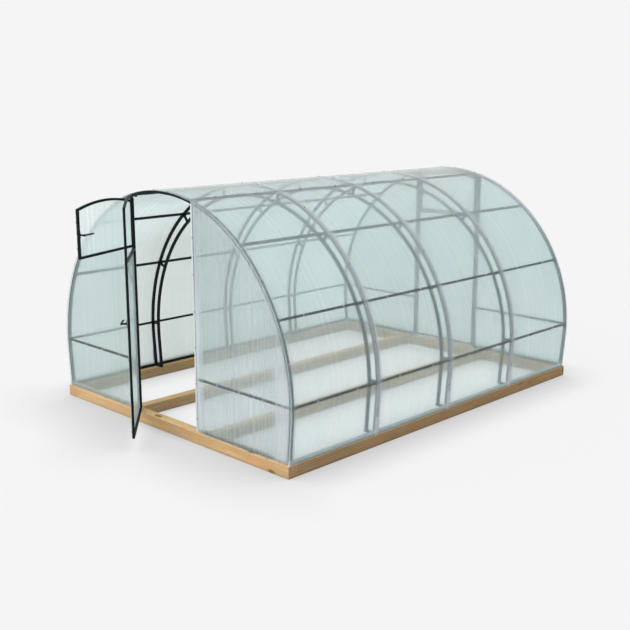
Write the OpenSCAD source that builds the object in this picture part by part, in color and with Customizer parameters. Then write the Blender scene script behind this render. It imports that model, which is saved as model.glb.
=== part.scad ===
// Walk-in greenhouse: a steel arch frame on a timber base, glazed with thin
// twin-wall sheets, with a hinged door and an upper window in both gables.
// Origin: ground level, middle of the front gable frame; +Y runs into the house.

/* [Timber base] */
// Width over the timber base
base_w = 3140; // [2600:10:3500]
// Length over the timber base
base_l = 4070; // [2200:10:8200]
// Height of the timber beams
beam_h = 100; // [70:5:140]
// Width of the timber beams
beam_w = 100; // [80:5:140]
// Clear width of the path between the two bed edges
path_w = 960; // [860:10:1200]

/* [Arches] */
// Number of bays along the house
bays = 4; // [2:1:8]
// Square tube of the arches, posts and ground rails
tube = 25; // [20:1:30]
// Square tube of the purlins
purlin = 20; // [15:1:25]
// Height of the arch centre above the ground
arch_z = 540; // [450:10:700]
// Lean of the arch legs towards the middle, in degrees
leg_lean = 4.5; // [1:0.5:8]
// From the timber's side face to the centre of the arch foot
foot_inset = 30; // [22:1:45]
// From the timber's front face to the centre of the gable frame
gable_inset = 40; // [38:1:55]
// Between the centre lines of a rib's outer and inner tube
rib_gap = 95; // [70:5:120]
// Angle of the lowest purlin above the arch centre, in degrees
purlin_start = 1; // [0:1:6]
// Angle from one purlin to the next, in degrees
purlin_step = 25; // [22:0.5:26]
// Purlins on each side
purlins = 4; // [4:1:4]

/* [Glazing] */
// Thickness of the glazing sheet
sheet = 4; // [3:1:10]
// How far the roof sheet runs past the gable sheet
roof_over = 10; // [5:1:20]
// Gap between two roof sheets, and between a sheet and the timber
sheet_gap = 0.6; // [0.2:0.1:0.9]

/* [Door and window] */
// Clear width between the door posts
door_clear = 830; // [700:10:840]
// Square tube of the door and window frames
leaf_tube = 20; // [15:1:25]
// Running gap round the door and round the window
leaf_gap = 5; // [5:0.5:8]
// Height of the door's lower edge above the timber
leaf_lift = 20; // [12:1:40]
// From the top of the arch's centre line down to the centre of the door's cross rail
cross_drop = 513; // [430:1:640]
// How far the front door stands open, in degrees
door_open = 39.8; // [0:0.1:110]
// How far the front window stands open from its door, in degrees
window_open = 29.4; // [0:0.1:60]
// Heights of the feet of the door's two lower hinges
door_hinges_z = [300, 900];
// From the centre of the cross rail down to the foot of the door's top hinge
top_hinge_drop = 157; // [80:1:300]
// Heights of the feet of the window hinges above the window's lower edge
window_hinges_up = [53, 268];

/* [Hinges and handles] */
// Outer radius of a hinge knuckle
knuckle_r = 6; // [5:0.5:7]
// Length of one knuckle
knuckle_l = 30; // [20:1:40]
// Radius of the hinge pin
pin_r = 3; // [2.5:0.5:3.5]
// Running clearance round the hinge pin
pin_play = 0.05; // [0.03:0.01:0.1]
// Thickness of the hinge plates and handle plates
plate = 3; // [2:0.5:3]
// Height of the door handle
handle_z = 1100; // [900:10:1200]
// Height of the window handle above the window's lower edge
window_handle_up = 200; // [100:5:280]
// Length of a handle's lever
lever_l = 125; // [90:5:140]
// How far a lever stands off its plate
lever_off = 46; // [36:1:60]
// Width of the clips that hold the sheet's foot
clip_w = 40; // [20:1:50]
// Height of those clips
clip_h = 165; // [60:5:200]

/* [Hidden] */
$fn = 64;
// smoothness of the long arcs
arc_fn = 360;

frame_l = base_l - 2 * gable_inset;
bay = frame_l / bays;
foot_x = base_w / 2 - foot_inset;
// centre line radius of the arches, so that the leaning legs meet the timber at foot_x
arch_r = foot_x * cos(leg_lean) + (arch_z - beam_h) * sin(leg_lean);
face = tube / 2;
post_x = door_clear / 2 + face;
rail_z = arch_z + arch_r * sin(purlin_start);
cross_z = arch_z + arch_r - cross_drop;
roof_r = arch_r + face + 0.3 + sheet / 2;
fit = 0.3;
leaf_half = door_clear / 2 - leaf_gap;
leaf_r = arch_r - face - leaf_gap;
leaf_z = beam_h + leaf_lift;
win_half = leaf_half - leaf_tube - leaf_gap;
win_r = leaf_r - leaf_tube - leaf_gap;
win_z = cross_z + leaf_tube / 2 + leaf_gap;
door_hinge_feet = concat(door_hinges_z, cross_z - top_hinge_drop);
// hinge axes lie in front of the frame, over the running gap
axis_y = -face - knuckle_r - 1;
door_axis = [-leaf_half - leaf_gap / 2, axis_y];
win_axis = [-win_half - leaf_gap / 2, axis_y];
big = 4 * arch_r;

c_wood = [0.80, 0.60, 0.38];
c_steel = [0.10, 0.14, 0.14];
c_sheet = [0.78, 0.87, 0.87, 0.45];
c_zinc = [0.70, 0.73, 0.75];
c_black = [0.07, 0.08, 0.08];

// ---- shared shapes ----

module box(lo, hi) {
    translate(lo) cube(hi - lo);
}

// everything inside radius r of the arch centre, w thick along Y
module arch_disc(r, w) {
    translate([0, 0, arch_z]) rotate([90, 0, 0]) cylinder(r = r, h = w, center = true, $fn = arc_fn);
}

// the filled gable outline up to radius r, w thick along Y, standing on foot:
// a disc above the level where the curve turns into the leaning legs
module arch_fill(r, w, foot) {
    turn_z = arch_z - r * sin(leg_lean);
    turn_x = r * cos(leg_lean);
    end_x = turn_x - (turn_z - foot) * tan(leg_lean);
    intersection() {
        arch_disc(r, w);
        translate([-big / 2, -w, turn_z]) cube([big, 2 * w, big]);
    }
    rotate([90, 0, 0]) translate([0, 0, -w / 2]) linear_extrude(w)
        polygon([[-turn_x, turn_z], [turn_x, turn_z], [end_x, foot], [-end_x, foot]]);
}

// a bent bar along that outline, t across the bend and w along Y
module arch_bar(r, t, w, foot) {
    difference() {
        arch_fill(r + t / 2, w, foot);
        arch_fill(r - t / 2, 2 * w, foot - t);
    }
}

// half turn about the middle of the house, from the front gable to the rear one
module rear() {
    translate([0, frame_l, 0]) rotate([0, 0, 180]) children();
}

// swings a closed leaf open about its upright hinge axis
module swung(axis, angle) {
    translate([axis[0], axis[1], 0]) rotate([0, 0, -angle]) translate([-axis[0], -axis[1], 0]) children();
}

module door_at_rest() {
    swung(door_axis, door_open) children();
}

module window_at_rest() {
    door_at_rest() swung(win_axis, window_open) children();
}

// ---- timber base ----

module beam_across() {
    color(c_wood) box([-base_w / 2, -gable_inset, 0], [base_w / 2, beam_w - gable_inset, beam_h]);
}

module beam_along(x_mid) {
    y_0 = beam_w - gable_inset;
    color(c_wood) box([x_mid - beam_w / 2, y_0, 0], [x_mid + beam_w / 2, frame_l - y_0, beam_h]);
}

// ---- steel frame ----

module gable_arch() {
    color(c_steel) arch_bar(arch_r, tube, tube, beam_h);
}

// double arch with a short strut at every purlin and a tie at each foot
module rib(n) {
    inner_r = arch_r - rib_gap;
    color(c_steel) translate([0, n * bay, 0]) {
        arch_bar(arch_r, tube, tube, beam_h);
        arch_bar(inner_r, tube, tube, beam_h);
        for (side = [0, 1]) mirror([side, 0, 0]) {
            for (k = [0 : purlins - 1])
                translate([0, 0, arch_z]) rotate([0, -purlin_start - k * purlin_step, 0])
                    box([inner_r, -purlin / 2, -purlin / 2], [arch_r, purlin / 2, purlin / 2]);
            box([foot_x - rib_gap, -purlin / 2, beam_h], [foot_x, purlin / 2, beam_h + purlin]);
        }
    }
}

// the tubes of one bay: purlins under the roof sheet, each with an end plate
// against the arches, and a ground rail on each side
module purlin_bay(n) {
    y_0 = (n - 1) * bay + face + fit;
    y_1 = n * bay - face - fit;
    top = arch_r + face;
    color(c_steel) for (side = [0, 1]) mirror([side, 0, 0]) {
        for (k = [0 : purlins - 1])
            translate([0, 0, arch_z]) rotate([0, -purlin_start - k * purlin_step, 0]) {
                box([top - purlin, y_0 + plate + fit, -purlin / 2], [top, y_1 - plate - fit, purlin / 2]);
                for (y = [y_0, y_1 - plate])
                    box([top - tube - 8, y, -purlin / 2 - 6], [top - 1, y + plate, purlin / 2 + 6]);
            }
        box([foot_x - face, y_0, beam_h], [foot_x + face - 2, y_1, beam_h + tube]);
    }
}

// door posts, a mid rail and a ground rail on each side of the doorway
module gable_frame() {
    inside = arch_r - face - fit;
    color(c_steel) intersection() {
        arch_fill(inside, 4 * tube, beam_h);
        for (side = [0, 1]) mirror([side, 0, 0]) {
            box([post_x - face, -face, beam_h], [post_x + face, face, big]);
            box([post_x, -face, rail_z - purlin / 2], [big, purlin - face, rail_z + purlin / 2]);
            box([post_x, -face, beam_h], [big, face, beam_h + tube]);
        }
    }
}

// bent strips that hold the foot of the roof sheet at each rib
module foot_clips() {
    out_r = roof_r + sheet / 2 + fit;
    strip = 1.5;
    color(c_zinc) for (n = [1 : bays - 1]) translate([0, n * bay, 0]) for (side = [0, 1]) mirror([side, 0, 0]) {
        intersection() {
            arch_bar(out_r + strip / 2, strip, clip_w, beam_h);
            box([0, -clip_w, beam_h], [big, clip_w, beam_h + clip_h]);
        }
        foot = out_r * cos(leg_lean) - (arch_z - out_r * sin(leg_lean) - beam_h) * tan(leg_lean);
        box([foot, -clip_w / 2, beam_h], [base_w / 2 - 1, clip_w / 2, beam_h + strip]);
    }
}

// ---- glazing ----

module roof_sheet(y_0, y_1) {
    color(c_sheet) translate([0, (y_0 + y_1) / 2, 0])
        arch_bar(roof_r, sheet, y_1 - y_0, beam_h + sheet_gap);
}

// a gable sheet from x_0 out to the arch; it covers the post on the lock side
// and leaves the post's hinge plates bare on the other
module gable_sheet(side) {
    color(c_sheet) translate([0, -face - sheet / 2, 0]) intersection() {
        arch_fill(arch_r + face - 0.5, sheet, beam_h + sheet_gap);
        if (side > 0) box([post_x - face, -sheet, 0], [big, sheet, big]);
        else box([-big, -sheet, 0], [-post_x, sheet, big]);
    }
}

// ---- hinges ----

// lower knuckle with its pin, on a plate that reaches towards -X
module pin_half(axis, z, reach) {
    color(c_steel) translate([axis[0], axis[1], z]) {
        cylinder(r = knuckle_r, h = knuckle_l);
        cylinder(r = pin_r, h = 2 * knuckle_l);
        box([-reach, knuckle_r + 1 - plate, 0], [0, knuckle_r + 1, knuckle_l]);
    }
}

// upper knuckle with its bore, on a plate that reaches towards +X
module eye_half(axis, z) {
    color(c_steel) translate([axis[0], axis[1], z + knuckle_l + 0.5]) difference() {
        union() {
            cylinder(r = knuckle_r, h = knuckle_l);
            box([0, knuckle_r + 1 - plate, 0], [leaf_gap / 2 + leaf_tube * 0.8, knuckle_r + 1, knuckle_l]);
        }
        translate([0, 0, -1]) cylinder(r = pin_r + pin_play, h = knuckle_l + 2);
    }
}

// the post's plates end at the edge of the gable sheet
module post_hinges() {
    for (z = door_hinge_feet) pin_half(door_axis, z, leaf_gap / 2 + face - 0.5);
}

module door_hinges() {
    for (z = door_hinge_feet) eye_half(door_axis, z);
}

module window_hinge_pins() {
    for (up = window_hinges_up) pin_half(win_axis, win_z + up, leaf_gap / 2 + leaf_tube * 0.6);
}

module window_hinge_eyes() {
    for (up = window_hinges_up) eye_half(win_axis, win_z + up);
}

// ---- door and window, drawn closed in the front gable ----

// tube frame under a curved head: two stiles, a foot rail and the bent head
module leaf_tubes(half, r, z_0) {
    intersection() {
        arch_disc(r, 4 * tube);
        union() {
            for (side = [0, 1]) mirror([side, 0, 0])
                box([half - leaf_tube, -face, z_0], [half, leaf_tube - face, big]);
            box([-half, -face, z_0], [half, leaf_tube - face, z_0 + leaf_tube]);
            difference() {
                box([-half, -face, win_z], [half, leaf_tube - face, big]);
                arch_disc(r - leaf_tube, 4 * tube);
            }
        }
    }
}

module door_frame() {
    color(c_steel) {
        leaf_tubes(leaf_half, leaf_r, leaf_z);
        box([-leaf_half, -face, cross_z - leaf_tube / 2], [leaf_half, leaf_tube - face, cross_z + leaf_tube / 2]);
    }
}

module door_pane() {
    bare = leaf_tube - 1;
    color(c_sheet) box([-leaf_half + bare, -face - sheet, leaf_z + 2],
        [leaf_half - 2, -face, cross_z + leaf_tube / 2 - 2]);
}

module window_frame() {
    color(c_steel) leaf_tubes(win_half, win_r, win_z);
}

module window_pane() {
    bare = leaf_tube - 1;
    color(c_sheet) intersection() {
        arch_disc(win_r - 2, 8 * tube);
        box([-win_half + bare, -face - sheet, win_z + 2], [win_half - 2, -face, big]);
    }
}

// round-ended plate, rose, spindle and bent lever; the lever points back towards the hinges
module handle(x, y, z, out) {
    color(c_black) translate([x, y, z]) mirror([0, out > 0 ? 0 : 1, 0]) rotate([-90, 0, 0]) {
        box([-9, -24, 0], [9, 24, plate]);
        for (v = [-24, 24]) translate([0, v, 0]) cylinder(r = 9, h = plate);
        cylinder(r = 10, h = plate + 5);
        cylinder(r = 8, h = lever_off);
        translate([0, 0, lever_off - 7]) {
            cylinder(r = 10, h = 14);
            box([6 - lever_l, -6, 1], [0, 6, 12]);
            // the lever's end is bent back towards the leaf
            translate([6 - lever_l, 0, -6]) cylinder(r = 6, h = 18);
        }
    }
}

module door_handle() {
    handle(leaf_half - leaf_tube / 2, -face - sheet, handle_z, -1);
}

module window_handle() {
    handle(win_half - leaf_tube / 2, leaf_tube - face, win_z + window_handle_up, 1);
}

// ---- nodes ----

roof_y_0 = -face - sheet - roof_over;
roof_mid = frame_l / 2;

beam_across();  // sill_front
rear() beam_across();  // sill_rear
beam_along(beam_w / 2 - base_w / 2);  // sill_left
beam_along(base_w / 2 - beam_w / 2);  // sill_right
beam_along(-path_w / 2 - beam_w / 2);  // bed_edge_left
beam_along(path_w / 2 + beam_w / 2);  // bed_edge_right
gable_arch();  // arch_front
rear() gable_arch();  // arch_rear
rib(1);  // rib_1
rib(2);  // rib_2
rib(3);  // rib_3
purlin_bay(1);  // purlins_1
purlin_bay(2);  // purlins_2
purlin_bay(3);  // purlins_3
purlin_bay(4);  // purlins_4
gable_frame();  // gable_frame_front
rear() gable_frame();  // gable_frame_rear
foot_clips();
roof_sheet(roof_y_0, roof_mid - sheet_gap / 2);  // roof_sheet_front
rear() roof_sheet(roof_y_0, roof_mid - sheet_gap / 2);  // roof_sheet_rear
gable_sheet(-1);  // gable_sheet_front_left
gable_sheet(1);  // gable_sheet_front_right
rear() gable_sheet(1);  // gable_sheet_rear_left
rear() gable_sheet(-1);  // gable_sheet_rear_right
post_hinges();  // post_hinges_front
rear() post_hinges();  // post_hinges_rear
door_at_rest() door_frame();  // door_frame_front
door_at_rest() door_hinges();  // door_hinges_front
door_at_rest() door_pane();  // door_pane_front
door_at_rest() door_handle();  // door_handle_front
window_at_rest() window_frame();  // window_frame_front
union() {  // window_hinges_front
    door_at_rest() window_hinge_pins();
    window_at_rest() window_hinge_eyes();
}
window_at_rest() window_pane();  // window_pane_front
window_at_rest() window_handle();  // window_handle_front
rear() door_frame();  // door_frame_rear
rear() door_hinges();  // door_hinges_rear
rear() door_pane();  // door_pane_rear
rear() door_handle();  // door_handle_rear
rear() window_frame();  // window_frame_rear
rear() {  // window_hinges_rear
    window_hinge_pins();
    window_hinge_eyes();
}
rear() window_pane();  // window_pane_rear
rear() window_handle();  // window_handle_rear
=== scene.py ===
import math
import random

import bmesh
import bpy
from mathutils import Matrix, Vector


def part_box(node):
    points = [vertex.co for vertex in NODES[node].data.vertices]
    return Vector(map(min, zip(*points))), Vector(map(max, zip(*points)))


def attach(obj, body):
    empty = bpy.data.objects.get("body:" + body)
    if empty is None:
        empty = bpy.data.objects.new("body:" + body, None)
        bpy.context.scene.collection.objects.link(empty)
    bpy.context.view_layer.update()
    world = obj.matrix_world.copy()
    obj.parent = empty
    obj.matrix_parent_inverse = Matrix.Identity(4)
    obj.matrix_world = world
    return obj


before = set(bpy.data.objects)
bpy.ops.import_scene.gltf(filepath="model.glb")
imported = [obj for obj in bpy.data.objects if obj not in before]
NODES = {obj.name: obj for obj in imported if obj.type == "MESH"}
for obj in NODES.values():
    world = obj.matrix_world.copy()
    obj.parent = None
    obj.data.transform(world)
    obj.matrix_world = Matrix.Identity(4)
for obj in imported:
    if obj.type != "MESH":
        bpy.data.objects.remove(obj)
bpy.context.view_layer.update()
SEED = 11

# ---------------------------------------------------------------- sizes, in metres and degrees

arch_lo, arch_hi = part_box("arch_front")
rear_lo, rear_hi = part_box("arch_rear")
_, roof_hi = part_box("roof_sheet_front")
_, sill_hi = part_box("sill_front")
window_lo, window_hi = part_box("window_frame_rear")
TUBE = arch_hi.y - arch_lo.y
FRONT_Y = (arch_lo.y + arch_hi.y) / 2
REAR_Y = (rear_lo.y + rear_hi.y) / 2
RIB_Y = [sum(corner.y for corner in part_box(f"rib_{n}")) / 2 for n in (1, 2, 3)]
ARCHES_Y = (FRONT_Y, *RIB_Y, REAR_Y)
ARCH_OUT = arch_hi.x
# the arch is a circle above its widest level, so the crown gives that level
ARCH_Z = arch_hi.z - ARCH_OUT
# below that level its legs lean in by this many degrees
LEAN = 4.5
ROOF_OUT = roof_hi.x
SILL_TOP = sill_hi.z
PURLIN_ANGLES = (1, 26, 51, 76)
RAIL_Z = ARCH_Z + (ARCH_OUT - TUBE / 2) * math.sin(math.radians(PURLIN_ANGLES[0]))
# thickness of the glazing
SHEET = 0.004
# outer face of the front gable's sheets, and of its leaves' panes when they are closed
GABLE_FACE = FRONT_Y - TUBE / 2 - SHEET
# half the clear width of the doorway
DOOR_HALF = 0.415
# the tube of the leaves, and their outlines when closed
LEAF = 0.020
LEAF_HALF = 0.410
LEAF_FOOT = SILL_TOP + 0.020
WINDOW_HALF = 0.385
WINDOW_FOOT = window_lo.z
WINDOW_R = window_hi.z - ARCH_Z
# middle of the door's cross bar, just below the window
CROSS_Z = WINDOW_FOOT - 0.015
# how far the front door and its window stand open, and their hinge axes when closed
DOOR_OPEN, WINDOW_OPEN = 39.8, 29.4
HINGE_OUT = 0.0195
DOOR_AXIS = Vector((-0.4125, FRONT_Y - HINGE_OUT, 0))
WINDOW_AXIS = Vector((-0.3875, FRONT_Y - HINGE_OUT, 0))


def swing(axis, degrees):
    """Turns about an upright axis, the way the leaves open."""
    turn = Matrix.Rotation(-math.radians(degrees), 4, "Z")
    return Matrix.Translation(axis) @ turn @ Matrix.Translation(-axis)


# these carry to its place what is laid out on the front gable with its leaves closed
HALF_TURN = Matrix.Translation((0, FRONT_Y + REAR_Y, 0)) @ Matrix.Rotation(math.pi, 4, "Z")
GABLE_AT = {"front": Matrix.Identity(4), "rear": HALF_TURN}
DOOR_AT = {"front": swing(DOOR_AXIS, DOOR_OPEN), "rear": HALF_TURN}
WINDOW_AT = {"front": DOOR_AT["front"] @ swing(WINDOW_AXIS, WINDOW_OPEN), "rear": HALF_TURN}


# ---------------------------------------------------------------- material helpers

def rgba(colour):
    return (*colour, 1)


class Graph:
    """A short way to write the node tree of a material or a world."""

    def __init__(self, owner, output="ShaderNodeOutputMaterial"):
        owner.use_nodes = True
        self.owner = owner
        self.tree = owner.node_tree
        self.tree.nodes.clear()
        self.out = self.add(output)

    def add(self, kind, **values):
        node = self.tree.nodes.new(kind)
        for key, value in values.items():
            setattr(node, key, value)
        return node

    def put(self, socket, value):
        """Sets a socket to a constant or joins it to another node's output."""
        if isinstance(value, bpy.types.NodeSocket):
            self.tree.links.new(value, socket)
        elif isinstance(value, tuple) and socket.type == "RGBA":
            socket.default_value = rgba(value)
        else:
            socket.default_value = value

    def put_all(self, node, **values):
        """Sets sockets by name, with _ for a space in the name."""
        for key, value in values.items():
            self.put(node.inputs[key.replace("_", " ")], value)
        return node

    def coords(self):
        return self.add("ShaderNodeTexCoord").outputs["Object"]

    def scaled(self, vector, scale, shift=(0, 0, 0)):
        node = self.add("ShaderNodeMapping")
        return self.put_all(node, Vector=vector, Scale=scale, Location=shift).outputs["Vector"]

    def split(self, vector):
        node = self.add("ShaderNodeSeparateXYZ")
        self.put(node.inputs[0], vector)
        return node.outputs

    def join(self, x, y, z):
        node = self.add("ShaderNodeCombineXYZ")
        for socket, value in zip(node.inputs, (x, y, z)):
            self.put(socket, value)
        return node.outputs[0]

    def calc(self, op, a, b=0.0, clamp=False):
        node = self.add("ShaderNodeMath", operation=op, use_clamp=clamp)
        self.put(node.inputs[0], a)
        self.put(node.inputs[1], b)
        return node.outputs[0]

    def plus(self, a, b):
        return self.calc("ADD", a, b)

    def minus(self, a, b):
        return self.calc("SUBTRACT", a, b)

    def times(self, a, b):
        return self.calc("MULTIPLY", a, b)

    def largest(self, a, b):
        return self.calc("MAXIMUM", a, b)

    def apart(self, a, b):
        """Distance between two values."""
        return self.calc("ABSOLUTE", self.minus(a, b))

    def length(self, a, b):
        return self.calc("SQRT", self.plus(self.times(a, a), self.times(b, b)))

    def noise(self, vector, scale, detail=2.0, rough=0.5, dims="3D"):
        node = self.add("ShaderNodeTexNoise", noise_dimensions=dims)
        self.put(node.inputs["W" if dims == "1D" else "Vector"], vector)
        return self.put_all(node, Scale=scale, Detail=detail, Roughness=rough).outputs[0]

    def cells(self, vector, scale=1.0):
        node = self.add("ShaderNodeTexVoronoi", feature="F1", distance="EUCLIDEAN")
        return self.put_all(node, Vector=vector, Scale=scale).outputs

    def span(self, value, lo, hi, to_lo=0.0, to_hi=1.0):
        """Runs smoothly from to_lo to to_hi while the value goes from lo to hi."""
        node = self.add("ShaderNodeMapRange", interpolation_type="SMOOTHSTEP")
        for socket, number in zip(node.inputs, (value, lo, hi, to_lo, to_hi)):
            self.put(socket, number)
        return node.outputs[0]

    def mix(self, share, a, b):
        """The colour a, and b where the share is 1."""
        node = self.add("ShaderNodeMix", data_type="RGBA")
        self.put(node.inputs["Factor"], share)
        self.put(node.inputs[6], a)
        self.put(node.inputs[7], b)
        return node.outputs[2]

    def bump(self, height, strength, distance):
        node = self.add("ShaderNodeBump")
        return self.put_all(node, Height=height, Strength=strength, Distance=distance).outputs[0]

    def principled(self, **values):
        return self.put_all(self.add("ShaderNodeBsdfPrincipled"), **values).outputs[0]

    def blend(self, share, first, second):
        """The shader first, and second where the share is 1."""
        node = self.add("ShaderNodeMixShader")
        for socket, value in zip(node.inputs, (share, first, second)):
            self.put(socket, value)
        return node.outputs[0]

    def seen(self):
        """1 for what shows in the picture, straight, mirrored or through a sheet, 0 for light."""
        path = self.add("ShaderNodeLightPath").outputs
        total = self.plus(path["Is Camera Ray"], path["Is Glossy Ray"])
        return self.calc("ADD", total, path["Is Transmission Ray"], clamp=True)

    def done(self, shader):
        self.tree.links.new(shader, self.out.inputs["Surface"])
        return self.owner


def new_graph(name):
    return Graph(bpy.data.materials.new(name))


# ---------------------------------------------------------------- solid materials

WOOD_LIGHT = (0.735, 0.520, 0.292)
WOOD_DARK = (0.503, 0.288, 0.120)
WOOD_WARM = (0.660, 0.398, 0.188)
WOOD_RESIN = (0.714, 0.371, 0.14)
WOOD_PALE = (0.600, 0.472, 0.258)
WOOD_STREAK = (0.800, 0.600, 0.338)
WOOD_FIBRE = (0.386, 0.196, 0.0756)
# darkening by weathering, also used as painted shade on the beams of the shaded sides
WOOD_AGED_AND_SHADED = (0.09, 0.052, 0.026)
WOOD_KNOT = (0.17, 0.065, 0.022)
WOOD_DIRT = (0.22, 0.13, 0.06)


def timber(name, along, middle, age_and_shade, shift):
    """Sawn pine: growth rings round a pith below the beam, fine fibre, resin and knots.
    along is the beam's axis, 0 for X and 1 for Y, and middle where its centre line lies across
    that. age_and_shade is how far the beam is darkened, partly by weathering and partly as painted
    shade, most of all on the right sill, whose side lies in shade. shift moves the pattern from
    beam to beam."""
    g = new_graph(name)
    x, y, z = g.split(g.coords())
    length, across = (x, y) if along == 0 else (y, x)
    beam = g.join(length, across, z)

    def grain(along_scale, across_scale, detail, rough=0.5, more=0):
        """Noise stretched along the beam."""
        moved = tuple(v + more for v in shift)
        at = g.scaled(beam, (along_scale, across_scale, across_scale), moved)
        return g.noise(at, 1.0, detail, rough)

    warp = grain(0.9, 9.0, 3.0)
    ring_at = g.join(g.times(length, 0.35), g.minus(across, middle), z)
    ring_at = g.scaled(ring_at, (1.0, 1.0, 1.0), (shift[0] * 0.1, shift[1] * 0.02, 0.06))
    waves = g.add(
        "ShaderNodeTexWave", wave_type="RINGS", rings_direction="X", wave_profile="SAW",
    )
    g.put_all(waves, Vector=ring_at, Scale=24.0, Distortion=5.0, Detail=2.0, Detail_Scale=0.6)
    ring = waves.outputs["Fac"]
    fibre = grain(6.0, 260.0, 4.0, 0.65)
    streak = grain(1.6, 34.0, 3.0, 0.6)
    resin = grain(7.0, 13.0, 4.0, 0.65, more=5)
    slow = grain(1.7, 4.0, 2.0)
    # knots: stretched cells, few and dark in the middle
    cell = g.cells(g.scaled(beam, (3.1, 7.5, 7.5), shift))
    knot = g.span(cell["Distance"], 0.10, 0.22, 1.0, 0.0)
    # a damp, dusty band where the beam meets the ground
    dirt = g.times(g.span(z, 0.0, 0.03, 1.0, 0.0), g.noise(beam, 22.0, 3.0))
    tone = g.mix(g.span(ring, 0.15, 1.0), WOOD_LIGHT, WOOD_DARK)
    for share, colour in (
        (g.span(warp, 0.35, 0.7), WOOD_WARM),
        (g.span(resin, 0.5, 0.66, 0.0, 0.8), WOOD_RESIN),
        (g.span(resin, 0.46, 0.32, 0.0, 0.6), WOOD_PALE),
        (g.span(streak, 0.45, 0.75, 0.0, 0.65), WOOD_STREAK),
        (g.span(fibre, 0.5, 0.8, 0.0, 0.35), WOOD_FIBRE),
        # darker by weathering, with painted shade on the beams of the shaded sides, most on the
        # right sill
        (g.span(slow, 0.3, 0.7, age_and_shade + 0.07, age_and_shade - 0.07), WOOD_AGED_AND_SHADED),
        (g.times(knot, 0.85), WOOD_KNOT),
        (g.times(dirt, 0.7), WOOD_DIRT),
    ):
        tone = g.mix(share, tone, colour)
    height = g.plus(g.times(fibre, 0.6), g.times(ring, 0.4))
    return g.done(g.principled(
        Base_Color=tone, Roughness=g.span(streak, 0.2, 0.8, 0.62, 0.82),
        Normal=g.bump(height, 0.35, 0.0012), Specular_IOR_Level=0.3,
    ))


def painted_steel(name):
    """Dark green-black powder coat with faint orange peel and dust on what faces up."""
    g = new_graph(name)
    at = g.coords()
    peel = g.noise(at, 420.0)
    cloud = g.noise(at, 3.0, 4.0)
    up = g.split(g.add("ShaderNodeNewGeometry").outputs["Normal"])[2]
    dust = g.times(g.span(up, 0.3, 1.0), g.span(cloud, 0.4, 0.75, 0.0, 0.5))
    tone = g.mix(cloud, (0.006, 0.0115, 0.0105), (0.010, 0.0165, 0.0155))
    tone = g.mix(g.times(dust, 0.22), tone, (0.16, 0.16, 0.145))
    return g.done(g.principled(
        Base_Color=tone, Roughness=g.span(cloud, 0.3, 0.7, 0.38, 0.5),
        Normal=g.bump(peel, 0.12, 0.0004), Specular_IOR_Level=0.08,
    ))


def black_plastic(name):
    g = new_graph(name)
    at = g.coords()
    grain = g.noise(at, 900.0)
    tone = g.mix(g.noise(at, 30.0), (0.008, 0.009, 0.009), (0.016, 0.017, 0.017))
    return g.done(g.principled(
        Base_Color=tone, Roughness=g.span(grain, 0.2, 0.8, 0.38, 0.55),
        Normal=g.bump(grain, 0.15, 0.0002), Specular_IOR_Level=0.2,
    ))


def zinc(name):
    """Galvanised strip with its spangle."""
    g = new_graph(name)
    shade = g.split(g.cells(g.coords(), 160.0)["Color"])[0]
    tone = g.mix(shade, (0.50, 0.53, 0.55), (0.72, 0.75, 0.77))
    rough = g.span(shade, 0.0, 1.0, 0.36, 0.55)
    return g.done(g.principled(Base_Color=tone, Metallic=0.75, Roughness=rough))


def screw_steel(name):
    """Zinc plating with a little tarnish."""
    g = new_graph(name)
    stain = g.noise(g.coords(), 160.0, 3.0)
    tone = g.mix(g.span(stain, 0.45, 0.75), (0.54, 0.57, 0.58), (0.34, 0.35, 0.35))
    rough = g.span(stain, 0.3, 0.8, 0.32, 0.55)
    return g.done(g.principled(Base_Color=tone, Metallic=0.6, Roughness=rough))


def rubber(name):
    g = new_graph(name)
    speck = g.noise(g.coords(), 500.0)
    tone = g.mix(speck, (0.21, 0.225, 0.23), (0.28, 0.295, 0.30))
    return g.done(g.principled(Base_Color=tone, Roughness=g.span(speck, 0.2, 0.8, 0.6, 0.75)))


def milky_plastic(name):
    """White translucent extrusion, a little yellowed and dusty."""
    g = new_graph(name)
    at = g.coords()
    cloud = g.noise(at, 6.0, 4.0)
    tone = g.mix(cloud, (0.70, 0.73, 0.74), (0.80, 0.82, 0.83))
    tone = g.mix(g.span(g.noise(at, 40.0, 3.0), 0.55, 0.8, 0.0, 0.3), tone, (0.55, 0.55, 0.52))
    return g.done(g.principled(
        Base_Color=tone, Roughness=g.span(cloud, 0.3, 0.7, 0.35, 0.5),
        Subsurface_Weight=0.2, Subsurface_Scale=0.004,
    ))


# ---------------------------------------------------------------- glazing

WEB_PITCH = 0.0057
# the clear part of a sheet: its colour, and how rough its clear and its soft share are
SKIN = (0.962, 0.994, 0.989)
SKIN_IOR = 1.3
CLEAR_ROUGH, SOFT_ROUGH = 0.02, 0.30
SOFT_SHARE = 0.26
# share of the haze that shows light from behind the sheet
GLOW = 0.5
# what a lamp sends through a sheet
LAMP_THROUGH = (0.82, 0.86, 0.86)
WEB_WHITE = (0.86, 0.90, 0.90)
DUST = (0.62, 0.62, 0.58)
MILK = (0.85, 0.87, 0.91)
# grey-green of the painted shade on the left side of the roof
LEFT_SHADE_TONE = (0.42, 0.47, 0.42)
# the arches' places and how white a roof sheet is over each
WHITE_AT = [(FRONT_Y, 0.35), *((y, 1.0) for y in RIB_Y), (REAR_Y, 0.35)]
# the white lies a little behind each arch's middle
WHITE_BACK = 0.006
# how the haze changes over each purlin, from the lowest up; painted light and shade: less haze
# shows a purlin darker, more shows the one at the shoulder paler
PURLIN_SHADE_AND_LIGHT = (-0.07, -0.09, 0.07, -0.14)


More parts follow.
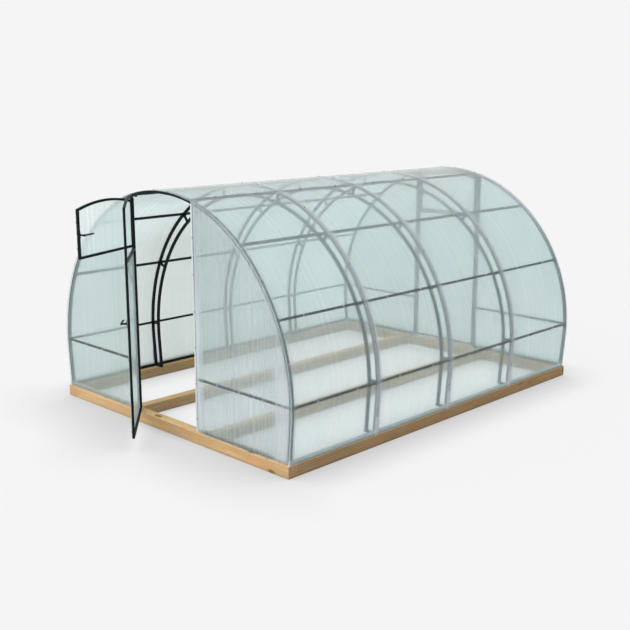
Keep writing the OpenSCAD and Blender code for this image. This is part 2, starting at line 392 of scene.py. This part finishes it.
def arch_bands(g, y, z):
    """How milky a roof sheet is where it lies on the arches."""
    milk = 0.0
    for arch_y, white in WHITE_AT:
        off = g.apart(y, arch_y + WHITE_BACK)
        band = g.plus(g.span(off, 0.018, 0.034, 0.85, 0.0), g.span(off, 0.02, 0.10, 0.25, 0.0))
        if arch_y == REAR_Y:
            # the rear arch pales over the crown
            white = g.span(z, 1.35, 1.95, white, white * 5)
        milk = g.largest(milk, g.times(band, white))
    # whiter towards the foot
    return g.times(milk, g.span(z, 0.14, 0.85, 1.4, 0.72))


def inside_arch(g, x, z):
    """Distance of a gable's point from the arch's outline, which bulges above ARCH_Z and leans
    in below it."""
    rise = g.largest(g.minus(z, ARCH_Z), 0.0)
    drop = g.largest(g.minus(ARCH_Z, z), 0.0)
    outline = g.minus(ARCH_OUT, g.times(drop, math.tan(math.radians(LEAN))))
    return g.minus(outline, g.length(x, rise))


def edge_bands(g, x, z, inside):
    """How milky the streaky gable sheet is along the arch's foot, round its bow and by the door."""
    foot = g.times(g.span(inside, 0.11, 0.25, 0.75, 0.0), g.span(z, 0.75, 1.1, 1.0, 0.0))
    foot = g.times(foot, g.span(inside, 0.026, 0.034, 0.25, 1.0))
    bow = g.times(g.span(inside, 0.03, 0.07, 0.55, 0.0), g.span(z, 0.9, 1.3, 0.0, 1.0))
    side = g.minus(g.calc("ABSOLUTE", x), DOOR_HALF)
    post = g.times(g.span(side, 0.03, 0.13, 1.15, 0.0), g.span(z, 1.0, 1.7, 1.0, 0.62))
    return g.largest(g.largest(foot, bow), post)


def roof_haze(g, haze, x, z):
    """Dull on the shoulders and washed clear along the crown. A purlin shows sharper where the
    sheet bears on it, by amounts that differ from purlin to purlin as painted light and shade, and
    duller and paler at the shoulder, as painted light on its upper face."""
    haze = g.plus(haze, g.span(z, 0.9, 1.55, 0.0, 0.07))
    haze = g.minus(haze, g.span(z, 1.86, 2.08, 0.0, 0.15))
    angle_at = g.calc("ARCTAN2", g.minus(z, ARCH_Z), g.calc("ABSOLUTE", x))
    for angle, change in zip(PURLIN_ANGLES, PURLIN_SHADE_AND_LIGHT):
        off = g.times(g.apart(angle_at, math.radians(angle)), ROOF_OUT)
        # painted light and shade on the purlin seen through the sheet
        haze = g.plus(haze, g.span(off, 0.010, 0.024, change, 0.0))
    return haze


def sheet_shader(g, tone, haze):
    """A clear skin with haze on it. Part of the haze glows when it is lit from behind, and part
    of the clear rest softens what is far behind the sheet."""
    front = g.principled(Base_Color=tone, Roughness=0.2, IOR=1.45)
    back = g.put_all(g.add("ShaderNodeBsdfTranslucent"), Color=tone).outputs[0]
    clear, soft = (
        g.put_all(
            g.add("ShaderNodeBsdfGlass", distribution="MULTI_GGX"),
            Color=SKIN, Roughness=rough, IOR=SKIN_IOR,
        ).outputs[0]
        for rough in (CLEAR_ROUGH, SOFT_ROUGH)
    )
    look = g.blend(haze, g.blend(SOFT_SHARE, clear, soft), g.blend(GLOW, front, back))
    # lamps reach through the sheet
    lamp = g.put_all(g.add("ShaderNodeBsdfTransparent"), Color=LAMP_THROUGH).outputs[0]
    path = g.add("ShaderNodeLightPath").outputs
    return g.blend(path["Is Shadow Ray"], look, lamp)


def glazing(
    name, across, see, tint, stripes, foot_haze=0.2,
    roof=False, gable=False, edge=False, steep=None,
):
    """Twin-wall sheet: a clear skin with fine webs between.
    across: the level direction, (x, y), in which the webs follow each other
    see: haze of the sheet where nothing adds to it
    tint: colour of the haze
    stripes: how uneven the haze is from flute to flute
    foot_haze: what damp adds along the sill
    roof: haze over arches and purlins, with painted light and shade over the purlins, along the
    crown, and painted shade on the left side
    gable: dust where the sheet lies on the arch
    edge: white along the arch and beside the doorway, for a gable sheet
    steep: tint that the webs give when the sheet is seen along its face"""
    g = new_graph(name)
    at = g.coords()
    x, y, z = g.split(at)
    run = g.plus(g.times(x, across[0]), g.times(y, across[1]))
    web = g.span(g.calc("PINGPONG", g.calc("DIVIDE", run, WEB_PITCH), 0.5), 0.0, 0.2, 1.0, 0.0)
    # haze changes from flute to flute, and slowly along the sheet
    flute = g.noise(run, 30.0, 2.5, 0.75, "1D")
    wide = g.noise(run, 5.0, 2.0, 0.5, "1D")
    blotch = g.noise(g.scaled(at, (1.6, 1.6, 0.9)), 1.0, 3.0)
    streak = g.minus(g.span(flute, 0.35, 0.72), 0.4)
    white = g.times(web, g.span(flute, 0.3, 0.7, 0.3, 1.0))
    # dust above the foot of the sheet, and damp at it
    foot = g.span(z, SILL_TOP, SILL_TOP + 0.16, 1.0, 0.0)
    dust = g.times(foot, g.noise(g.scaled(at, (9.0, 9.0, 3.0)), 1.0, 3.0))
    damp = g.span(z, SILL_TOP + 0.02, SILL_TOP + 0.055, 1.0, 0.0)
    haze = see
    for part, share in (
        (streak, 0.14 * stripes), (white, 0.10 * stripes), (g.minus(wide, 0.5), 0.10),
        (dust, 0.16), (damp, foot_haze), (g.minus(blotch, 0.5), 0.08),
    ):
        haze = g.plus(haze, g.times(part, share))
    tone = g.mix(g.span(wide, 0.3, 0.7), tint, tuple(c * 0.94 for c in tint))

    milk = None
    if gable:
        inside = inside_arch(g, x, z)
        haze = g.plus(haze, g.span(inside, 0.024, 0.034, 0.2, 0.0))
        if edge:
            milk = edge_bands(g, x, z, inside)
    if roof:
        milk = arch_bands(g, y, z)
    if milk is not None:
        haze = g.plus(haze, g.times(milk, 0.42))
    if roof:
        haze = roof_haze(g, haze, x, z)
        # painted shade: hazier and grey-green on the left side, whose inner face shows through the
        # open doorway, most of all where the doorway shows it
        left_shade = g.times(g.span(x, -1.35, -0.9, 1.0, 0.0), g.span(y, 1.35, 2.4, 1.0, 0.2))
        left_shade = g.times(left_shade, g.span(y, 0.2, 0.85, 0.2, 1.0))
        haze = g.plus(haze, g.times(left_shade, 0.08))
        tone = g.mix(g.times(left_shade, 0.85), tone, LEFT_SHADE_TONE)
    if steep:
        along = g.span(g.add("ShaderNodeLayerWeight").outputs["Facing"], 0.55, 0.9)
        haze = g.plus(haze, g.times(along, 0.2))
        tone = g.mix(along, tone, steep)
    haze = g.calc("MINIMUM", g.largest(haze, 0.02), 0.95)
    tone = g.mix(g.times(white, 0.6 * stripes), tone, WEB_WHITE)
    tone = g.mix(g.times(dust, 0.5), tone, DUST)
    if milk is not None:
        tone = g.mix(g.times(milk, 0.8), tone, MILK)
    return g.done(sheet_shader(g, tone, haze))


# ---------------------------------------------------------------- the materials

STEEL = painted_steel("powder_coat")
SCREW = screw_steel("screw_steel")
RUBBER = rubber("washer_rubber")
TRIM = milky_plastic("milky_profile")
PLASTIC = black_plastic("handle_plastic")
ZINC = zinc("galvanised")
ALONG_X, ALONG_Y = (1, 0), (0, 1)
# level directions along the front door and its window as they stand
DOOR_WAY = tuple(DOOR_AT["front"].col[0])[:2]
WINDOW_WAY = tuple(WINDOW_AT["front"].col[0])[:2]
ROOF = glazing("roof_twin_wall", ALONG_Y, 0.15, (0.77, 0.91, 0.95), 0.5, 0.65, roof=True)
GABLE = glazing("gable_twin_wall", ALONG_X, 0.24, (0.58, 0.69, 0.68), 0.5, 0.75, gable=True)
GABLE_STREAKY = glazing(
    "gable_streaky_twin_wall", ALONG_X, 0.34, (0.55, 0.63, 0.65), 1.6, gable=True, edge=True,
)
DOOR_PANE = glazing(
    "door_twin_wall", DOOR_WAY, 0.25, (0.58, 0.68, 0.69), 0.6, steep=(0.44, 0.52, 0.54),
)
WINDOW_PANE = glazing("window_twin_wall", WINDOW_WAY, 0.32, (0.93, 0.99, 1.0), 0.6)
REAR_PANE = glazing("rear_door_twin_wall", ALONG_X, 0.24, (0.58, 0.68, 0.67), 0.6)
SHEETS = {
    "roof_sheet_front": ROOF, "roof_sheet_rear": ROOF,
    "gable_sheet_front_left": GABLE, "gable_sheet_front_right": GABLE_STREAKY,
    "gable_sheet_rear_left": GABLE, "gable_sheet_rear_right": GABLE,
    "door_pane_front": DOOR_PANE, "window_pane_front": WINDOW_PANE,
    "door_pane_rear": REAR_PANE, "window_pane_rear": REAR_PANE,
}


# ---------------------------------------------------------------- finish of the CAD nodes

WELD_WITHIN = 0.00002
# edges that turn by more than this many degrees are rounded, by these widths
SHARP = 50
BEAM_EDGE, TUBE_EDGE, HANDLE_EDGE, HINGE_EDGE = 0.0035, 0.0022, 0.0012, 0.0006
# each beam's axis, 0 for X and 1 for Y, and how far it is darkened, by weathering and by painted
# shade, which darkens the right sill most
BEAMS = {
    "sill_front": (0, 0.02), "sill_rear": (0, 0.10), "sill_left": (1, 0.12),
    "sill_right": (1, 0.19), "bed_edge_left": (1, 0.06), "bed_edge_right": (1, 0.09),
}
SHIFT_MOST = 9


def finish_node(name, material, bevel=None):
    """Gives a CAD node its material and, where it has sharp edges, a small rounding."""
    obj = NODES[name]
    for slot in obj.material_slots:
        slot.material = material
    if bevel:
        weld = obj.modifiers.new("weld", "WELD")
        weld.merge_threshold = WELD_WITHIN
        edge = obj.modifiers.new("edge", "BEVEL")
        edge.width = bevel
        edge.segments = 2
        edge.limit_method = "ANGLE"
        edge.angle_limit = math.radians(SHARP)


def beam_shift(index):
    """Moves the pattern of the timber, so that no two beams look alike."""
    rng = random.Random(SEED + index)
    return tuple(rng.uniform(-SHIFT_MOST, SHIFT_MOST) for _ in range(3))


for index, (beam, (axis, age_and_shade)) in enumerate(BEAMS.items()):
    middle = sum(corner[1 - axis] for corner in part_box(beam)) / 2
    finish_node(beam, timber(f"pine_{beam}", axis, middle, age_and_shade, beam_shift(index)), BEAM_EDGE)
for name, node in NODES.items():
    if name in BEAMS:
        continue
    cad_material = node.material_slots[0].material.name
    if name in SHEETS:
        finish_node(name, SHEETS[name])
    elif cad_material == "zinc":
        finish_node(name, ZINC)
    elif cad_material == "handle_black":
        finish_node(name, PLASTIC, HANDLE_EDGE)
    else:
        finish_node(name, STEEL, HINGE_EDGE if "hinges" in name else TUBE_EDGE)


# ---------------------------------------------------------------- added pieces

class Build:
    """Collects the closed mesh parts of one piece."""

    def __init__(self, *materials):
        self.bm = bmesh.new()
        self.materials = materials

    def rings(self, rings, kind=0, smooth=False):
        """A solid through equal closed rings of points, with a flat face at each end. kind is the
        number of its material."""
        rings = [[self.bm.verts.new(point) for point in ring] for ring in rings]
        faces = [self.bm.faces.new(rings[0][::-1]), self.bm.faces.new(rings[-1])]
        for low, high in zip(rings, rings[1:]):
            for i in range(len(low)):
                j = (i + 1) % len(low)
                side = self.bm.faces.new((low[i], low[j], high[j], high[i]))
                side.smooth = smooth
                faces.append(side)
        for face in faces:
            face.material_index = kind

    def turned(self, at, profile, sides, kind=0, smooth=True):
        """A solid of revolution round the Z axis of the frame at. The profile lists
        (radius, height) from the bottom up."""
        turns = [2 * math.pi * i / sides for i in range(sides)]
        self.rings([
            [at @ Vector((radius * math.cos(a), radius * math.sin(a), height)) for a in turns]
            for radius, height in profile
        ], kind, smooth)

    def done(self, name, body, slot):
        bmesh.ops.recalc_face_normals(self.bm, faces=self.bm.faces)
        mesh = bpy.data.meshes.new(name)
        self.bm.to_mesh(mesh)
        self.bm.free()
        for material in self.materials:
            mesh.materials.append(material)
        obj = bpy.data.objects.new(name, mesh)
        bpy.context.scene.collection.objects.link(obj)
        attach(obj, body)


def standing(place, normal, spin):
    """A frame at place whose Z axis is the normal, turned about it by spin. The spin of each
    screw comes from its place, so that neighbours differ."""
    upright = Vector(normal).to_track_quat("Z", "Y").to_matrix().to_4x4()
    return Matrix.Translation(place) @ upright @ Matrix.Rotation(spin, 4, "Z")


def roof_frame(angle, y, side):
    """A frame on the roof sheet's outer face, angle degrees above the arch centre."""
    a = math.radians(angle)
    normal = Vector((side * math.cos(a), 0, math.sin(a)))
    return standing(Vector((0, y, ARCH_Z)) + normal * ROOF_OUT, normal, angle * 1.7 + y * 5)


def leg_frame(z, y, side):
    """A frame on the leaning foot of the roof sheet, at height z."""
    a = math.radians(-LEAN)
    normal = Vector((side * math.cos(a), 0, math.sin(a)))
    turn = Vector((0, y, ARCH_Z)) + normal * ROOF_OUT
    down = Vector((-side * math.sin(math.radians(LEAN)), 0, -math.cos(math.radians(LEAN))))
    return standing(turn + down * ((turn.z - z) / -down.z), normal, z * 31)


# places of the roof's screws: degrees round the arch, height on its leg, share of a bay
ARCH_SCREWS = (13.5, 38.5, 63.5, 86.5)
LEG_SCREW = 0.33
BAY_SCREWS = (0.27, 0.73)
# places of a gable's screws: degrees round the arch, heights on a post, X on the rails
BOW_SCREWS = (7, 22, 37, 52, 67)
POST_SCREWS = (0.22, 0.53, 0.84, 1.15, 1.46, 1.77)
RAIL_SCREWS = (0.70, 0.98, 1.26)
# those on the ground rail stand this much nearer the doorway
GROUND_RAIL_BACK = 0.02
# places of a leaf's screws: heights on the door's sides, X on the bars, heights above the
# window's foot, degrees round its head
SIDE_SCREWS = (0.18, 0.50, 0.80, 1.20, 1.50)
BAR_SCREWS = (-0.2, 0.0, 0.2)
WINDOW_SCREWS = (0.09, 0.30)
HEAD_SCREWS = (76, 90, 104)
# the door's screws on the hinge side are this much higher
HINGE_SIDE_LIFT = 0.04
# how much further from the hinge the screws stand on its side of the doorway
POST_ASIDE, LEAF_ASIDE = 0.006, 0.0065
# profiles of a screw's soft washer, its flange and its hexagon head
WASHER = [(0.0100, -0.0004), (0.0100, 0.0010), (0.0092, 0.0016)]
FLANGE = [(0.0086, 0.0012), (0.0086, 0.0018), (0.0060, 0.0028), (0.0052, 0.0030)]
HEXAGON = [(0.0046, 0.0028), (0.0046, 0.0068), (0.0038, 0.0076)]


def add_screw(build, at):
    """Hexagon screw with a domed flange that presses a soft ring on the sheet."""
    build.turned(at, WASHER, 16, kind=1)
    build.turned(at, FLANGE, 16)
    build.turned(at, HEXAGON, 6, smooth=False)


def screws_on_roof():
    """Screws into the arches, between the purlins and at the feet, and into each purlin."""
    build = Build(SCREW, RUBBER)
    for y in ARCHES_Y:
        for side in (-1, 1):
            for angle in ARCH_SCREWS:
                add_screw(build, roof_frame(angle, y, side))
            add_screw(build, leg_frame(LEG_SCREW, y, side))
    for y0, y1 in zip(ARCHES_Y, ARCHES_Y[1:]):
        for side in (-1, 1):
            for angle in PURLIN_ANGLES:
                for share in BAY_SCREWS:
                    add_screw(build, roof_frame(angle, y0 + (y1 - y0) * share, side))
    build.done("roof_screws", "house", "zinc")


def screws_on_gable(end):
    """Screws along the arch, posts and rails of one gable."""
    build = Build(SCREW, RUBBER)

    def put(x, z):
        place = standing(Vector((x, GABLE_FACE, z)), (0, -1, 0), x * 7 + z * 5)
        add_screw(build, GABLE_AT[end] @ place)

    r = ARCH_OUT - TUBE / 2
    for side in (-1, 1):
        for angle in BOW_SCREWS:
            a = math.radians(angle)
            put(side * r * math.cos(a), ARCH_Z + r * math.sin(a))
        post = DOOR_HALF + TUBE / 2 + (POST_ASIDE if side < 0 else 0)
        for z in POST_SCREWS:
            put(side * post, z)
        for x in RAIL_SCREWS:
            put(side * x, RAIL_Z)
            put(side * (x - GROUND_RAIL_BACK), SILL_TOP + TUBE / 2)
    build.done(f"gable_screws_{end}", "house", "zinc")


def screws_on_leaf(end):
    """Screws that hold the panes of a door and its window to their tubes."""
    build = Build(SCREW, RUBBER)
    door, window = DOOR_AT[end], WINDOW_AT[end]
    inset = LEAF / 2

    def put(leaf, x, z):
        place = standing(Vector((x, GABLE_FACE, z)), (0, -1, 0), x * 9 + z * 3)
        add_screw(build, leaf @ place)

    for z in SIDE_SCREWS:
        put(door, LEAF_HALF - inset, z)
        put(door, -LEAF_HALF + inset + LEAF_ASIDE, z + HINGE_SIDE_LIFT)
    for x in BAR_SCREWS:
        put(door, x, LEAF_FOOT + inset)
        put(door, x, CROSS_Z)
        put(window, x, WINDOW_FOOT + inset)
    for rise in WINDOW_SCREWS:
        put(window, WINDOW_HALF - inset, WINDOW_FOOT + rise)
    r = WINDOW_R - inset
    for angle in HEAD_SCREWS:
        a = math.radians(angle)
        put(window, r * math.cos(a), ARCH_Z + r * math.sin(a))
    build.done(f"pane_screws_{end}", f"{end}_door", "zinc")


def edge_trim(end):
    """Milky profile that caps the gable sheet's free edge on the lock side of the doorway."""
    steps, clear = 12, 0.002
    low = SILL_TOP + clear
    top = ARCH_Z + math.sqrt(ARCH_OUT ** 2 - DOOR_HALF ** 2) - 0.022
    x0, x1 = DOOR_HALF - 0.0012, DOOR_HALF + 0.016
    # an L of thin walls round the sheet's edge; y is counted from the sheet's outer face
    outline = [
        (x0, 0.0052), (x0, -0.0010), (x0 + 0.0012, -0.0018), (x1 - 0.002, -0.0018),
        (x1, -0.0008), (x1, -0.0002), (x0 + 0.0010, -0.0002), (x0 + 0.0010, 0.0052),
    ]
    heights = [low + (top - low) * i / steps for i in range(steps + 1)]
    build = Build(TRIM)
    build.rings([
        [GABLE_AT[end] @ Vector((x, GABLE_FACE + y, z)) for x, y in outline] for z in heights
    ])
    build.done(f"edge_trim_{end}", "house", "glazing")


screws_on_roof()
for end in ("front", "rear"):
    screws_on_gable(end)
    screws_on_leaf(end)
    edge_trim(end)


# ---------------------------------------------------------------- studio

# grey of the background, and the strength of the even light
BACKGROUND = 0.913
WORLD_LIGHT = 0.41
KEY_FROM, KEY_STRENGTH, KEY_ANGLE = (-0.5, -1.0, 1.0), 3.25, 110
FLOOR_R = 26.0
FLOOR_Z = -0.001
# distances from the house's middle over which the floor fades into the background
FADE_FROM, FADE_TO = 4.5, 9.0
# how bright the floor is for light that bounces off it, and as it shows
FLOOR_BOUNCE = 0.30
FLOOR_SEEN = 0.83
# how much of the cast shadow and of the contact shade the floor keeps
SHADOW = 0.10
CONTACT = 0.60


def studio_world():
    """One grey for what shows and an even light for everything else."""
    world = bpy.data.worlds.new("studio")
    bpy.context.scene.world = world
    g = Graph(world, "ShaderNodeOutputWorld")
    light, shown = (
        g.put_all(g.add("ShaderNodeBackground"), Color=(grey,) * 3, Strength=strength).outputs[0]
        for grey, strength in ((1, WORLD_LIGHT), (BACKGROUND, 1))
    )
    g.done(g.blend(g.seen(), light, shown))


def key_lamp():
    """Wide soft sun from the front left."""
    data = bpy.data.lights.new("key", "SUN")
    data.energy = KEY_STRENGTH
    data.angle = math.radians(KEY_ANGLE)
    key = bpy.data.objects.new("key", data)
    bpy.context.scene.collection.objects.link(key)
    key.rotation_euler = Vector(KEY_FROM).to_track_quat("Z", "Y").to_euler()
    # the sheets would mirror so wide a lamp as a white patch
    key.visible_glossy = False
    key.visible_transmission = False


def studio_floor():
    """Pale floor that fades into the background with distance from the house."""
    mesh = bpy.data.meshes.new("floor")
    bm = bmesh.new()
    bmesh.ops.create_circle(bm, cap_ends=True, segments=96, radius=FLOOR_R)
    bm.to_mesh(mesh)
    bm.free()
    floor = bpy.data.objects.new("floor", mesh)
    floor.location = (0, (FRONT_Y + REAR_Y) / 2, FLOOR_Z)
    bpy.context.scene.collection.objects.link(floor)
    g = new_graph("studio_floor")
    x, y, _ = g.split(g.coords())
    seen = g.seen()
    # soft contact shade all round the base, wider in front; y is counted from the house's middle
    near = g.add("ShaderNodeAmbientOcclusion", samples=8)
    g.put_all(near, Distance=g.span(y, -2.35, -1.95, 0.95, 0.52))
    shade = g.minus(1.0, g.times(g.minus(1.0, near.outputs["AO"]), CONTACT))
    shown = g.times(shade, FLOOR_SEEN * SHADOW)
    matt = g.add("ShaderNodeBsdfDiffuse")
    g.put_all(matt, Color=g.mix(seen, (FLOOR_BOUNCE,) * 3, g.join(shown, shown, shown)))
    plain = g.add("ShaderNodeEmission")
    g.put_all(plain, Strength=g.times(g.times(seen, shade), BACKGROUND * (1 - SHADOW)))
    lit = g.add("ShaderNodeAddShader")
    g.put(lit.inputs[0], matt.outputs[0])
    g.put(lit.inputs[1], plain.outputs[0])
    clear = g.add("ShaderNodeBsdfTransparent").outputs[0]
    fade = g.span(g.length(x, y), FADE_FROM, FADE_TO)
    mesh.materials.append(g.done(g.blend(fade, lit.outputs[0], clear)))


studio_world()
key_lamp()
studio_floor()

# ---------------------------------------------------------------- camera

CAMERA_AT = (6.6126, -4.8721, 2.8792)
LOOK_DOWN, LOOK_LEFT = 12.689, 44.545
camera_data = bpy.data.cameras.new("camera")
camera_data.lens = 55.0
camera_data.sensor_width = 36.0
camera = bpy.data.objects.new("camera", camera_data)
camera.location = CAMERA_AT
camera.rotation_euler = (math.radians(90 - LOOK_DOWN), 0, math.radians(LOOK_LEFT))
bpy.context.scene.collection.objects.link(camera)
bpy.context.scene.camera = camera
bpy.context.scene.view_settings.view_transform = "Standard"
